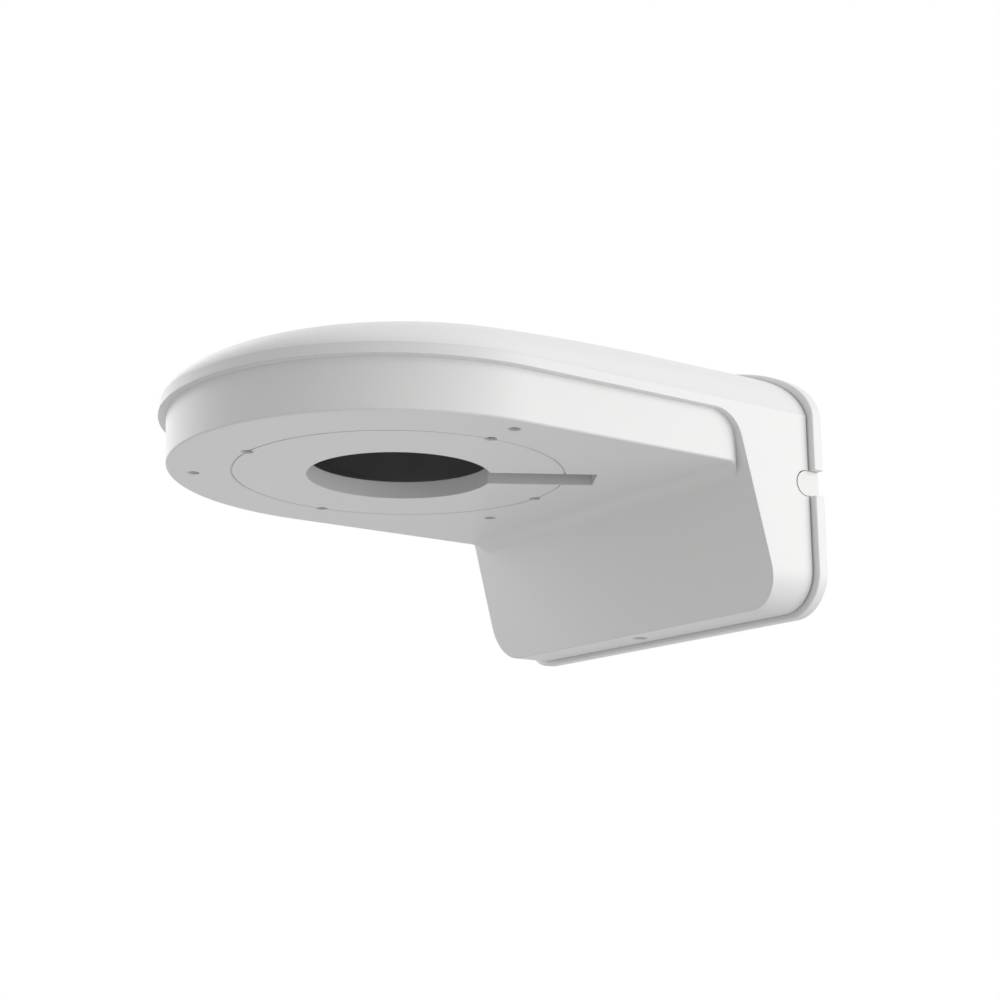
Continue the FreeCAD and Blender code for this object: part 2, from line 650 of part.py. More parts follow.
screw_access = new_sketch(housing, "screw_access", "XY_Plane", "-sizes.foot_drop - " + CLEAR)
circle(screw_access, None, "-sizes.screw_gap", "0.5 * sizes.screw_access")
pocket(housing, screw_access, "screw_access_cut", "sizes.wall + 2 * " + CLEAR)

# The wall plate: flange, locating rim, hooks, lug and openings.
wall_plate = new_body("wall_plate")
flange = new_sketch(wall_plate, "flange", "XZ_Plane")
arch_outline(flange, PLATE_HALF, "-(sizes.foot_drop + sizes.plate_foot_border)", "sizes.plate_corner",
             "%s + sizes.plate_top_border" % CREST, "sizes.plate_lean * 1 deg")
flange_pad = pad(wall_plate, flange, "flange_pad", "sizes.plate_thick")


def flange_front(middle, direction, edge):
    """The edges round the face that looks away from the wall."""
    return abs(middle.y + size["plate_thick"]) < TOUCH


bevel(wall_plate, flange_pad, "flange_bevel", "sizes.edge_break", flange_front)


def rim_outline(sketch, inset):
    """The locating rim, a U that follows the sides and the foot of the cavity."""
    in_by = "sizes.wall + %s" % inset
    first = len(sketch.Geometry)
    foot_corners(sketch, first, "%s - (%s)" % (LIP_REAR, in_by), "-sizes.foot_drop + %s" % in_by,
                 "sizes.foot_round - (%s)" % in_by, "sizes.rim_top")
    ends = (sketch.Geometry[first + 4].EndPoint, sketch.Geometry[first].StartPoint)
    lid = sketch.addGeometry(Part.LineSegment(*ends))
    sketch.addConstraint(Sketcher.Constraint("Coincident", first + 4, 2, lid, 1))
    sketch.addConstraint(Sketcher.Constraint("Coincident", lid, 2, first, 1))


plate_root = "sizes.plate_thick - " + ROOT
rim = new_sketch(wall_plate, "locating_rim", "XZ_Plane", plate_root)
rim_outline(rim, "sizes.fit_gap")
pad(wall_plate, rim, "rim_pad", "sizes.rim_depth + " + ROOT)
rim_space = new_sketch(wall_plate, "rim_space", "XZ_Plane", "sizes.plate_thick + sizes.rim_depth")
rim_outline(rim_space, "sizes.fit_gap + sizes.rim_thick")
pocket(wall_plate, rim_space, "rim_space_cut", "sizes.rim_depth", along_normal=False)

lug = new_sketch(wall_plate, "screw_lug", "XZ_Plane", plate_root)
lug_low = "-sizes.foot_drop + sizes.wall + sizes.fit_gap"
lug_high = "%s + sizes.lug_thick" % lug_low
polygon(lug, [("-sizes.lug_half", lug_low), ("sizes.lug_half", lug_low),
              ("sizes.lug_half", lug_high), ("-sizes.lug_half", lug_high)])
pad(wall_plate, lug, "screw_lug_pad", "sizes.screw_gap + sizes.lug_past - (%s)" % plate_root)
lug_hole = new_sketch(wall_plate, "screw_thread", "XY_Plane", "-sizes.foot_drop")
circle(lug_hole, None, "-sizes.screw_gap", "0.5 * sizes.screw_diameter + sizes.screw_play")
pocket(wall_plate, lug_hole, "screw_thread_cut",
       "sizes.wall + sizes.fit_gap + sizes.lug_thick + " + CLEAR)

hook = new_sketch(wall_plate, "hook", "YZ_Plane", "sizes.hook_place - 0.5 * sizes.hook_width")
tongue_root = "-(%s)" % plate_root
nose_back = "-(sizes.plate_thick + sizes.rib_gap + sizes.rib_thick + sizes.hang_play)"
nose_front = "%s - sizes.hook_nose_thick" % nose_back
tongue_low = HOOK_LEVEL + " - sizes.hook_thick"
nose_top = HOOK_LEVEL + " + sizes.hook_nose"
polygon(hook, [(tongue_root, tongue_low), (tongue_root, HOOK_LEVEL),
               (nose_back, HOOK_LEVEL), (nose_back, nose_top),
               (nose_front, nose_top), (nose_front, tongue_low)])
hook_pad = pad(wall_plate, hook, "hook_pad", "sizes.hook_width")
other_hook = wall_plate.newObject("PartDesign::Mirrored", "other_hook")
other_hook.Originals = [hook_pad]
other_hook.MirrorPlane = (origin_plane(wall_plate, "YZ_Plane"), [""])
wall_plate.Tip = other_hook
doc.recompute()

through = new_sketch(wall_plate, "wall_openings", "XZ_Plane")
circle(through, None, None, "sizes.cable_radius")
for side in ("-", ""):
    for level in ("-", ""):
        circle(through, side + "0.5 * sizes.fixing_across", level + "0.5 * sizes.fixing_up",
               "0.5 * sizes.fixing_diameter")
pocket(wall_plate, through, "wall_openings_cut", "sizes.plate_thick + " + CLEAR)

entry_low = "sizes.entry_level - sizes.entry_radius"
entry_high = "sizes.entry_level + sizes.entry_radius"
entry_gate = new_sketch(wall_plate, "entry_gate", "XZ_Plane")
entry_end = "(%s - sizes.entry_inset)" % LIP_REAR
entry_past = "%s + %s" % (PLATE_HALF, PAST)
polygon(entry_gate, [(entry_end, entry_low), (entry_past, entry_low),
                     (entry_past, entry_high), (entry_end, entry_high)])
pocket(wall_plate, entry_gate, "entry_gate_cut", "sizes.plate_thick + " + CLEAR)
rim_gate = new_sketch(wall_plate, "rim_gate", "XZ_Plane", "sizes.plate_thick")
gate_left = "%s - sizes.wall - sizes.fit_gap - sizes.rim_thick - %s" % (LIP_REAR, CLEAR)
gate_low = entry_low + " - sizes.plug_flange - sizes.gate_gap"
gate_high = entry_high + " + sizes.plug_flange + sizes.gate_gap"
polygon(rim_gate, [(gate_left, gate_low), (LIP_REAR, gate_low),
                   (LIP_REAR, gate_high), (gate_left, gate_high)])
pocket(wall_plate, rim_gate, "rim_gate_cut", "sizes.rim_depth + " + CLEAR)

# The plug that closes the side cable entry: a face flush with the housing and a flange behind it.
entry_plug = new_body("entry_plug")
plug_radius = "sizes.entry_radius - sizes.plug_play"
plug_depth = "sizes.entry_depth - sizes.plug_play"
plug_end = "%s + sizes.plug_play" % entry_end
flange_end = "%s - sizes.wall - sizes.plug_play - sizes.plug_flange_thick" % LIP_REAR
plug_face = new_sketch(entry_plug, "plug_face", "YZ_Plane", plug_end)
u_outline(plug_face, plug_depth, "sizes.entry_level", plug_radius, "0")
pad(entry_plug, plug_face, "plug_face_pad", "sizes.entry_inset - sizes.plug_play")
plug_back = new_sketch(entry_plug, "plug_back", "YZ_Plane", flange_end)
u_outline(plug_back, "%s + sizes.plug_flange" % plug_depth, "sizes.entry_level",
          "%s + sizes.plug_flange" % plug_radius, "-(sizes.plate_thick + sizes.plug_play)")
pad(entry_plug, plug_back, "plug_back_pad", "sizes.plug_flange_thick")

# The set screw in the foot that locks the housing on its plate.
locking_screw = new_body("locking_screw")
shank = new_sketch(locking_screw, "shank", "XY_Plane", "-sizes.foot_drop + sizes.screw_sink")
circle(shank, None, "-sizes.screw_gap", "0.5 * sizes.screw_diameter")
pad(locking_screw, shank, "shank_pad", "sizes.screw_length")
socket = new_sketch(locking_screw, "hex_socket", "XY_Plane", "-sizes.foot_drop + sizes.screw_sink")
corner_out = "sizes.screw_hex / sqrt(3)"
half_flat = "0.5 * sizes.screw_hex"
half_side = "0.5 * sizes.screw_hex / sqrt(3)"
polygon(socket, [(corner_out, "-sizes.screw_gap"),
                 (half_side, "-sizes.screw_gap + " + half_flat),
                 ("-" + half_side, "-sizes.screw_gap + " + half_flat),
                 ("-" + corner_out, "-sizes.screw_gap"),
                 ("-" + half_side, "-sizes.screw_gap - " + half_flat),
                 (half_side, "-sizes.screw_gap - " + half_flat)])
pocket(locking_screw, socket, "hex_socket_cut", "sizes.screw_hex_depth")

# The thin gasket between the housing and the flange of the plate.
seam_gasket = new_body("seam_gasket")
gasket = new_sketch(seam_gasket, "gasket", "XZ_Plane", "sizes.plate_thick")
for inset in ("sizes.gasket_inset", "(sizes.gasket_inset + sizes.gasket_width)"):
    arch_outline(gasket, "%s - sizes.lip_shelf - %s" % (LIP_REAR, inset),
                 "-sizes.foot_drop + " + inset, "sizes.foot_round - " + inset,
                 "%s - %s" % (CREST, inset), "sizes.crown_rear_angle * 1 deg")
pad(seam_gasket, gasket, "gasket_pad", "sizes.seam_gap")
gasket_gate = new_sketch(seam_gasket, "gasket_gate", "XZ_Plane", "sizes.plate_thick")
polygon(gasket_gate, [(entry_end, entry_low), (entry_past, entry_low),
                      (entry_past, entry_high), (entry_end, entry_high)])
pocket(seam_gasket, gasket_gate, "gasket_gate_cut", "sizes.seam_gap + " + CLEAR)

NODES = [housing, wall_plate, entry_plug, locking_screw, seam_gasket]
doc.recompute()
for obj in doc.Objects:
    if any(word in ("Invalid", "Error") for word in obj.State):
        raise RuntimeError("%s did not build" % obj.Label)
os.makedirs("parts", exist_ok=True)
for node in NODES:
    shape = node.Shape
    if shape.isNull() or not shape.isValid() or len(shape.Solids) != 1:
        raise RuntimeError("%s is not one sound solid" % node.Label)
    shape.exportStep("parts/%s.step" % node.Label)
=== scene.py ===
"""Camera wall bracket: the looks of the white cast bracket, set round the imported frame."""

import math
from typing import NamedTuple

import bpy
from bpy.props import FloatProperty, FloatVectorProperty, IntProperty, PointerProperty
from mathutils import Matrix, Vector


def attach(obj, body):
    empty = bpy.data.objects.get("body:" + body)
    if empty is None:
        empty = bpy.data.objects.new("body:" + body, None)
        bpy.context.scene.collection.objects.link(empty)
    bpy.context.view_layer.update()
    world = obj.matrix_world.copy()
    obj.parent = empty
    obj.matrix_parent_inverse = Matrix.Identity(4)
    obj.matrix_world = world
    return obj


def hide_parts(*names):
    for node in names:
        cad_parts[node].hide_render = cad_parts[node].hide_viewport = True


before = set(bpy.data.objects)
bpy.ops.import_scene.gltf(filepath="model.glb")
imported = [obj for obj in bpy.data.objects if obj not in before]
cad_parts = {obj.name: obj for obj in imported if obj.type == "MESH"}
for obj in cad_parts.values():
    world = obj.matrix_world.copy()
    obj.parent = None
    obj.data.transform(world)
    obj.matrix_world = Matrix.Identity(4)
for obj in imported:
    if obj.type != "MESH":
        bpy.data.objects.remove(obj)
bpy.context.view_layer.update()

bl_info = {
    "name": "Camera wall bracket",
    "version": (1, 0, 0),
    "blender": (4, 5, 0),
    "location": "View3D > Sidebar > Bracket",
    "description": "Finishes, screw threads and studio of a wall bracket for a dome camera",
    "category": "Object",
}

MM = 0.001
BODY = "root"

# Tapped camera holes, in metres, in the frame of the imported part.
HEAD_AXIS_Y = -94.2 * MM
TAP_RADIUS = 1.7 * MM
TAP_LENGTH = 5.0 * MM
INNER_CIRCLE = 46.0 * MM
OUTER_CIRCLE = 56.5 * MM
INNER_HOLES = 4
OUTER_HOLES = 3

# Their thread: where its first turn starts and half its foot, as shares of the pitch, and how far
# the foot reaches into the metal.
THREAD_START = 0.6
THREAD_HALF_FOOT = 0.42
THREAD_ROOT = 0.04 * MM

# The cavity of the casting: top of its floor and how far under it a face counts as lower, front
# and bottom of the foot, and half its width.
FLOOR_TOP = 5.0 * MM
LEVEL_SLACK = 0.1 * MM
FOOT_FRONT_Y = -26.0 * MM
FOOT_FLOOR = -35.5 * MM
CAVITY_HALF = 63.9 * MM

# A line along the middle of the cavity: its end near the wall, its level, and how low it goes there.
CORE_REAR_Y = -9.0 * MM
CORE_TOP = 15.0 * MM
CORE_FOOT = -20.0 * MM

# How meshes are merged, flattened and smoothed.
MERGE_DISTANCE = 0.002 * MM
THREAD_MERGE_DISTANCE = 0.001 * MM
FLAT_ANGLE = math.radians(0.05)
SHARP_ANGLE = math.radians(32)
THREAD_SHARP_ANGLE = math.radians(30)

# Powder coat: clouds, darkest shade, change in roughness, and height of its waves over their size.
COAT_CLOUD = 30.0 * MM
COAT_DARKEST = 0.99
COAT_SPREAD = 0.06
WAVE_HEIGHT = 0.1

# Painted shade in the cavity: faces that look into it get a darker grey, with its shades, how much
# duller it is than the coat, and its mark.
PAINTED_SHADE_DARKEST = 0.9
PAINTED_SHADE_LIGHTEST = 1.1
PAINTED_SHADE_DULLER = 0.45
PAINTED_SHADE_MARK = "bare"

# Fine skin of the moulded plug.
SKIN_GRAIN = 0.4 * MM
SKIN_DEPTH = 0.04 * MM

# The studio, in metres.
STAGE_CENTRE = Vector((0.0, -0.08, 0.0))
RIGHT_LAMP_PLACE = Vector((0.88, 0.60, 0.15))
LEFT_LAMP_PLACE = Vector((-0.95, -0.40, 0.45))
TOP_LAMP_PLACE = Vector((0.10, 0.10, 1.20))
SIDE_LAMP_SIZE = 1.0
TOP_LAMP_SIZE = 1.2
FLOOR_SIZE = 3.0
FLOOR_SEEN = 0.95
SENSOR_WIDTH_MM = 36.0
NEAREST_SEEN = 0.01

# Rays that see a surface directly, and the colour sockets of a Mix node, whose names are shared.
SEEN_RAYS = ("Is Camera Ray", "Is Glossy Ray", "Is Transmission Ray")
MIX_SHARE = 0
MIX_FIRST = 6
MIX_SECOND = 7
MIX_RESULT = 2


class CoatSettings(bpy.types.PropertyGroup):
    """Powder coat on the casting and the wall plate, and painted shade inside: a darker grey on the
    faces in the cavity.
    """

    colour: FloatVectorProperty(
        name="Coat colour", description="Colour of the white powder coat", subtype="COLOR",
        size=3, min=0.0, max=1.0, default=(0.83, 0.83, 0.825))
    roughness: FloatProperty(
        name="Roughness", description="How dull the coat is", subtype="FACTOR",
        min=0.0, max=1.0, default=0.42)
    grain: FloatProperty(
        name="Grain size", description="Size of the fine waves in the coat", unit="LENGTH",
        min=0.0001, max=0.01, default=0.0009)
    # Painted shade: the darker grey given to the faces inside the cavity.
    inside: FloatVectorProperty(
        name="Inside colour", description="Painted shade: darker grey of the faces inside the cavity",
        subtype="COLOR", size=3, min=0.0, max=1.0, default=(0.42, 0.42, 0.425))
    edge: FloatProperty(
        name="Edge softness", description="Radius by which the coat rounds every edge", unit="LENGTH",
        min=0.0, max=0.002, default=0.00035)


class SmallPartSettings(bpy.types.PropertyGroup):
    """Plug, screw, gasket and the threads of the camera holes."""

    plug_colour: FloatVectorProperty(
        name="Plug colour", description="Colour of the moulded plug", subtype="COLOR",
        size=3, min=0.0, max=1.0, default=(0.82, 0.82, 0.81))
    steel_colour: FloatVectorProperty(
        name="Screw colour", description="Colour of the plated screw", subtype="COLOR",
        size=3, min=0.0, max=1.0, default=(0.56, 0.56, 0.57))
    gasket_colour: FloatVectorProperty(
        name="Gasket colour", description="Colour of the strip in the seam", subtype="COLOR",
        size=3, min=0.0, max=1.0, default=(0.05, 0.05, 0.05))
    cut_colour: FloatVectorProperty(
        name="Thread colour", description="Colour of the bare metal in the tapped holes",
        subtype="COLOR", size=3, min=0.0, max=1.0, default=(0.5, 0.5, 0.5))
    thread_pitch: FloatProperty(
        name="Thread pitch", description="Pitch of the threads in the camera holes", unit="LENGTH",
        min=0.0003, max=0.002, default=0.0007)
    thread_depth: FloatProperty(
        name="Thread depth", description="How far the thread stands into its hole", unit="LENGTH",
        min=0.0, max=0.001, default=0.00026)
    thread_steps: IntProperty(
        name="Thread steps", description="Faces round one turn of thread", min=8, max=64, default=24)


class StageSettings(bpy.types.PropertyGroup):
    """Camera, lamps and floor."""

    azimuth: FloatProperty(
        name="Azimuth", description="Side from which the camera looks, 0 looking along +Y",
        subtype="ANGLE", default=math.radians(56.16))
    elevation: FloatProperty(
        name="Elevation", description="Height angle of the camera, negative below the object",
        subtype="ANGLE", default=math.radians(-13.70))
    roll: FloatProperty(
        name="Roll", description="Turn of the camera about its view", subtype="ANGLE",
        default=math.radians(0.06))
    place: FloatVectorProperty(
        name="Camera place", description="Where the camera stands", subtype="TRANSLATION",
        unit="LENGTH", size=3, default=(0.36767, -0.30701, -0.10998))
    lens: FloatProperty(
        name="Lens", description="Focal length on a sensor 36 mm wide", unit="CAMERA",
        min=10.0, max=300.0, default=56.84)
    ambient: FloatProperty(
        name="Ambient light", description="Strength of the even light from all sides",
        min=0.0, max=5.0, default=0.48)
    right_power: FloatProperty(
        name="Right lamp", description="Power of the lamp on the side of the cable entry",
        unit="POWER", min=0.0, max=500.0, default=8.0)
    left_power: FloatProperty(
        name="Left lamp", description="Power of the lamp on the other side", unit="POWER",
        min=0.0, max=500.0, default=5.0)
    top_power: FloatProperty(
        name="Top lamp", description="Power of the lamp overhead", unit="POWER",
        min=0.0, max=500.0, default=2.7)
    floor_level: FloatProperty(
        name="Floor level", description="Height of the floor under the bracket", unit="LENGTH",
        default=-0.42)
    floor_bounce: FloatProperty(
        name="Floor bounce", description="Share of the light that the floor throws back up",
        subtype="FACTOR", min=0.0, max=1.0, default=0.64)


GROUPS = {"bracket_coat": CoatSettings, "bracket_small": SmallPartSettings,
          "bracket_stage": StageSettings}


def rgba(colour, factor=1.0):
    """A darker or lighter shade of a colour, as a colour socket takes it."""
    return tuple(min(1.0, part * factor) for part in colour) + (1.0,)


def grey(level):
    """A neutral colour, as a colour socket takes it."""
    return (level, level, level, 1.0)


class Wire:
    """An output of a shader node that can be used in sums."""

    def __init__(self, board, socket):
        self.board = board
        self.socket = socket

    def _math(self, operation, other):
        return self.board.node("ShaderNodeMath", {"operation": operation}, {0: self, 1: other})

    def __add__(self, other):
        return self._math("ADD", other)

    __radd__ = __add__

    def __mul__(self, other):
        return self._math("MULTIPLY", other)

    __rmul__ = __mul__

    def highest(self, other):
        return self._math("MAXIMUM", other)


class Clouds(NamedTuple):
    """How colour and roughness of a surface drift together in soft clouds."""

    size: float
    detail: float
    darkest: float
    lightest: float
    roughness: float
    spread: float


class Board:
    """The node tree of one material or of the world."""

    def __init__(self, owner):
        owner.use_nodes = True
        self.tree = owner.node_tree
        self.tree.nodes.clear()

    def node(self, kind, settings=None, values=None, output=0):
        """Add a node, set its options, then its sockets; returns one of its outputs, if it has any."""
        made = self.tree.nodes.new(kind)
        for name, value in (settings or {}).items():
            setattr(made, name, value)
        for name, value in (values or {}).items():
            socket = made.inputs[name]
            if isinstance(value, Wire):
                self.tree.links.new(value.socket, socket)
            else:
                socket.default_value = value
        return Wire(self, made.outputs[output]) if len(made.outputs) else None

    def noise(self, size, detail=2.0, roughness=0.5):
        """Cloudy noise from 0 to 1 whose waves are about this long."""
        place = self.node("ShaderNodeTexCoord", output="Object")
        return self.node("ShaderNodeTexNoise", {"noise_dimensions": "3D"},
                         {"Vector": place, "Scale": 1.0 / size, "Detail": detail,
                          "Roughness": roughness})

    def blend(self, share, first, second):
        """Mix of two colours."""
        return self.node("ShaderNodeMix", {"data_type": "RGBA"},
                         {MIX_SHARE: share, MIX_FIRST: first, MIX_SECOND: second}, MIX_RESULT)

    def either(self, share, first, second):
        """Mix of two shaders."""
        return self.node("ShaderNodeMixShader", None, {0: share, 1: first, 2: second})

    def clouded(self, clouds, colour):
        """Colour and roughness of a surface that drifts in clouds."""
        cloud = self.noise(clouds.size, clouds.detail)
        drift = self.blend(cloud, rgba(colour, clouds.darkest), rgba(colour, clouds.lightest))
        return {"Base Color": drift, "Roughness": clouds.roughness + cloud * clouds.spread}

    def surface(self, values):
        """End a material in a surface with these values."""
        self.close(self.node("ShaderNodeBsdfPrincipled", None, values))

    def close(self, shader, kind="ShaderNodeOutputMaterial"):
        """Send a shader to the output of the tree."""
        self.node(kind, None, {"Surface": shader})


def powder_coat(board, settings):
    """White powder coat: even colour, faint waves, edges rounded by the film, and painted shade
    inside: a darker grey on the faces in the cavity.
    """
    cloud = board.noise(COAT_CLOUD, detail=3.0)
    waves = board.noise(settings.grain, roughness=0.4)
    rounded = board.node("ShaderNodeBevel", {"samples": 6}, {"Radius": settings.edge})
    relief = board.node("ShaderNodeBump", None,
                        {"Strength": 0.06, "Distance": settings.grain * WAVE_HEIGHT,
                         "Height": waves, "Normal": rounded})
    # Painted shade: faces marked as looking into the cavity take the darker inside grey, and are
    # duller.
    bare = board.node("ShaderNodeAttribute", {"attribute_name": PAINTED_SHADE_MARK}, output="Fac")
    coated = board.blend(cloud, rgba(settings.colour, COAT_DARKEST), rgba(settings.colour))
    painted_shade = board.blend(cloud, rgba(settings.inside, PAINTED_SHADE_DARKEST), rgba(settings.inside, PAINTED_SHADE_LIGHTEST))
    smoothest = settings.roughness - COAT_SPREAD / 2
    board.surface({"Base Color": board.blend(bare, coated, painted_shade),
                   "Roughness": smoothest + cloud * COAT_SPREAD + bare * PAINTED_SHADE_DULLER,
                   "IOR": 1.45, "Normal": relief})


def moulded_plastic(board, settings):
    """Moulded plastic a shade duller than the coat."""
    plain = Clouds(size=4.0 * MM, detail=3.0, darkest=0.985, lightest=1.0,
                   roughness=0.46, spread=0.08)
    skin = board.node("ShaderNodeBump", None,
                      {"Strength": 0.08, "Distance": SKIN_DEPTH, "Height": board.noise(SKIN_GRAIN)})
    board.surface({**board.clouded(plain, settings.plug_colour), "IOR": 1.5, "Normal": skin})


def cut_metal(board, settings):
    """Aluminium laid bare where the thread was cut."""
    freshly_cut = Clouds(size=0.8 * MM, detail=3.0, darkest=0.85, lightest=1.15,
                         roughness=0.5, spread=0.15)
    board.surface({**board.clouded(freshly_cut, settings.cut_colour), "Metallic": 0.3})


def plated_steel(board, settings):
    """Plated steel, dull and a little blotched."""
    plated = Clouds(size=1.2 * MM, detail=4.0, darkest=0.8, lightest=1.0,
                    roughness=0.28, spread=0.2)
    board.surface({**board.clouded(plated, settings.steel_colour), "Metallic": 1.0})


def closed_cell_rubber(board, settings):
    """Dark rubber with fine cells."""
    cells = Clouds(size=0.5 * MM, detail=3.0, darkest=0.7, lightest=1.3,
                   roughness=0.75, spread=0.15)
    board.surface({**board.clouded(cells, settings.gasket_colour), "Specular IOR Level": 0.3})


FINISHES = {powder_coat: "bracket_coat", moulded_plastic: "bracket_small",
            cut_metal: "bracket_small", plated_steel: "bracket_small",
            closed_cell_rubber: "bracket_small"}


def material_of(finish):
    """The material of a finish, made the first time that it is asked for."""
    material = bpy.data.materials.get(finish.__name__)
    if material is None:
        material = bpy.data.materials.new(finish.__name__)
        finish(Board(material), getattr(bpy.context.scene, FINISHES[finish]))
    return material


def deselect():
    """Leave edit mode and select nothing."""
    if bpy.context.object is not None and bpy.context.object.mode != "OBJECT":
        bpy.ops.object.mode_set(mode="OBJECT")
    bpy.ops.object.select_all(action="DESELECT")


def choose(piece):
    """Make this the only selected and the active object."""
    deselect()
    piece.select_set(True)
    bpy.context.view_layer.objects.active = piece


def duplicate(source):
    """A copy of an object with a mesh of its own."""
    choose(source)
    bpy.ops.object.duplicate()
    return bpy.context.object


def dress(piece, name, finish):
    """Give a piece its name, its finish and its body."""
    piece.name = name
    piece.data.name = name
    piece.data.materials.clear()
    piece.data.materials.append(material_of(finish))
    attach(piece, BODY)


def smooth_copy(node):
    """A merged copy of a CAD node's mesh, smooth over its curves and sharp at its edges."""
    piece = duplicate(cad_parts[node])
    piece.parent = None
    piece.matrix_world = Matrix.Identity(4)
    bpy.ops.object.mode_set(mode="EDIT")
    bpy.ops.mesh.customdata_custom_splitnormals_clear()
    bpy.ops.mesh.select_all(action="SELECT")
    bpy.ops.mesh.remove_doubles(threshold=MERGE_DISTANCE)
    bpy.ops.mesh.dissolve_limited(angle_limit=FLAT_ANGLE, delimit={"NORMAL"})
    bpy.ops.object.mode_set(mode="OBJECT")
    bpy.ops.object.shade_smooth_by_angle(angle=SHARP_ANGLE)
    even = piece.modifiers.new("face_weights", "WEIGHTED_NORMAL")
    even.keep_sharp = True
    even.weight = 100
    bpy.ops.object.modifier_apply(modifier=even.name)
    return piece


def finish_node(node, name, finish):
    """Put a smooth and finished copy in the place of a CAD node."""
    piece = smooth_copy(node)
    dress(piece, name, finish)
    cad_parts[node].data.materials[0] = material_of(finish)
    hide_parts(node)
    return piece


def looks_inside(centre, normal):
    """Whether a face of the casting looks into its cavity, and not into a hole through a wall."""
    below_floor = centre.z < FLOOR_TOP - LEVEL_SLACK
    under_arm = below_floor and centre.y < FOOT_FRONT_Y
    if under_arm or centre.z < FOOT_FLOOR or abs(centre.x) > CAVITY_HALF:
        return False
    if below_floor:
        core = Vector((0.0, CORE_REAR_Y, max(centre.z, CORE_FOOT)))
    else:
        core = Vector((0.0, min(max(centre.y, HEAD_AXIS_Y), CORE_REAR_Y), CORE_TOP))
    return normal.dot(core - centre) > 0


def mark_painted_shade(piece):
    """Note on each face of the casting whether it looks into the cavity and gets the painted shade."""
    # Painted shade: 1 on faces that look into the cavity, 0 elsewhere.
    bare = piece.data.attributes.new(PAINTED_SHADE_MARK, "FLOAT", "FACE")
    for face in piece.data.polygons:
        bare.data[face.index].value = float(looks_inside(face.center, face.normal))


def thread_coil(settings, radius, length):
    """A coil of thread, turn after turn along +Z, that stands in from the wall of a hole."""
    pitch = settings.thread_pitch
    start = THREAD_START * pitch
    half_foot = THREAD_HALF_FOOT * pitch
    foot = radius + THREAD_ROOT
    deselect()
    bpy.ops.mesh.primitive_circle_add(vertices=3, radius=pitch, fill_type="NOTHING",
                                      location=(0, 0, 0))
    coil = bpy.context.object
    corners = ((radius - settings.thread_depth, start), (foot, start + half_foot),
               (foot, start - half_foot))
    for vertex, (across, up) in zip(coil.data.vertices, corners):
        vertex.co = Vector((across, 0, up))
    turn = coil.modifiers.new("turns", "SCREW")
    turn.axis = "Z"
    turn.angle = 2 * math.pi
    turn.screw_offset = pitch
    # One turn fewer than the hole has room for keeps both ends inside it.
    turn.iterations = int(length / pitch) - 1
    turn.steps = settings.thread_steps
    turn.render_steps = settings.thread_steps
    turn.use_merge_vertices = True
    bpy.ops.object.modifier_apply(modifier=turn.name)
    bpy.ops.object.mode_set(mode="EDIT")
    bpy.ops.mesh.select_all(action="SELECT")
    bpy.ops.mesh.remove_doubles(threshold=THREAD_MERGE_DISTANCE)
    bpy.ops.mesh.select_all(action="DESELECT")
    bpy.ops.mesh.select_non_manifold()
    bpy.ops.mesh.edge_face_add()
    bpy.ops.mesh.select_all(action="SELECT")
    bpy.ops.mesh.normals_make_consistent(inside=False)
    bpy.ops.object.mode_set(mode="OBJECT")
    bpy.ops.object.shade_smooth_by_angle(angle=THREAD_SHARP_ANGLE)
    return coil


def copies_on_circle(source, radius, count):
    """Copies of an object, even on a circle round the axis of the head."""
    copies = []
    for number in range(count):
        angle = 2 * math.pi * number / count
        placed = duplicate(source)
        placed.location = (radius * math.cos(angle), HEAD_AXIS_Y + radius * math.sin(angle), 0)
        bpy.ops.object.transform_apply(location=True, rotation=False, scale=False)
        copies.append(placed)
    return copies


class BRACKET_OT_casting(bpy.types.Operator):
    """Finish the cast housing: powder coat outside, painted shade in the cavity"""

    bl_idname = "bracket.casting"
    bl_label = "Cast housing"

    def execute(self, context):
        mark_painted_shade(finish_node("housing", "coated_housing", powder_coat))
        return {"FINISHED"}


class BRACKET_OT_plate(bpy.types.Operator):
    """Finish the wall plate in white powder coat"""

    bl_idname = "bracket.plate"
    bl_label = "Wall plate"

    def execute(self, context):
        finish_node("wall_plate", "coated_wall_plate", powder_coat)
        return {"FINISHED"}


class BRACKET_OT_plug(bpy.types.Operator):
    """Finish the plug of the side cable entry"""

    bl_idname = "bracket.plug"
    bl_label = "Entry plug"

    def execute(self, context):
        finish_node("entry_plug", "moulded_entry_plug", moulded_plastic)
        return {"FINISHED"}


class BRACKET_OT_screw(bpy.types.Operator):
    """Finish the locking screw in the foot"""

    bl_idname = "bracket.screw"
    bl_label = "Locking screw"

    def execute(self, context):
        finish_node("locking_screw", "plated_locking_screw", plated_steel)
        return {"FINISHED"}


class BRACKET_OT_gasket(bpy.types.Operator):
    """Finish the strip in the seam"""

    bl_idname = "bracket.gasket"
    bl_label = "Seam gasket"

    def execute(self, context):
        finish_node("seam_gasket", "rubber_seam_gasket", closed_cell_rubber)
        return {"FINISHED"}


class BRACKET_OT_threads(bpy.types.Operator):
    """Cut the threads of the camera holes"""

    bl_idname = "bracket.threads"
    bl_label = "Camera hole threads"

    def execute(self, context):
        coil = thread_coil(context.scene.bracket_small, TAP_RADIUS, TAP_LENGTH)
        coils = copies_on_circle(coil, INNER_CIRCLE, INNER_HOLES)
        coils += copies_on_circle(coil, OUTER_CIRCLE, OUTER_HOLES)
        bpy.data.objects.remove(coil)
        choose(coils[0])
        for placed in coils:
            placed.select_set(True)
        bpy.ops.object.join()
        dress(context.object, "camera_hole_threads", cut_metal)
        return {"FINISHED"}


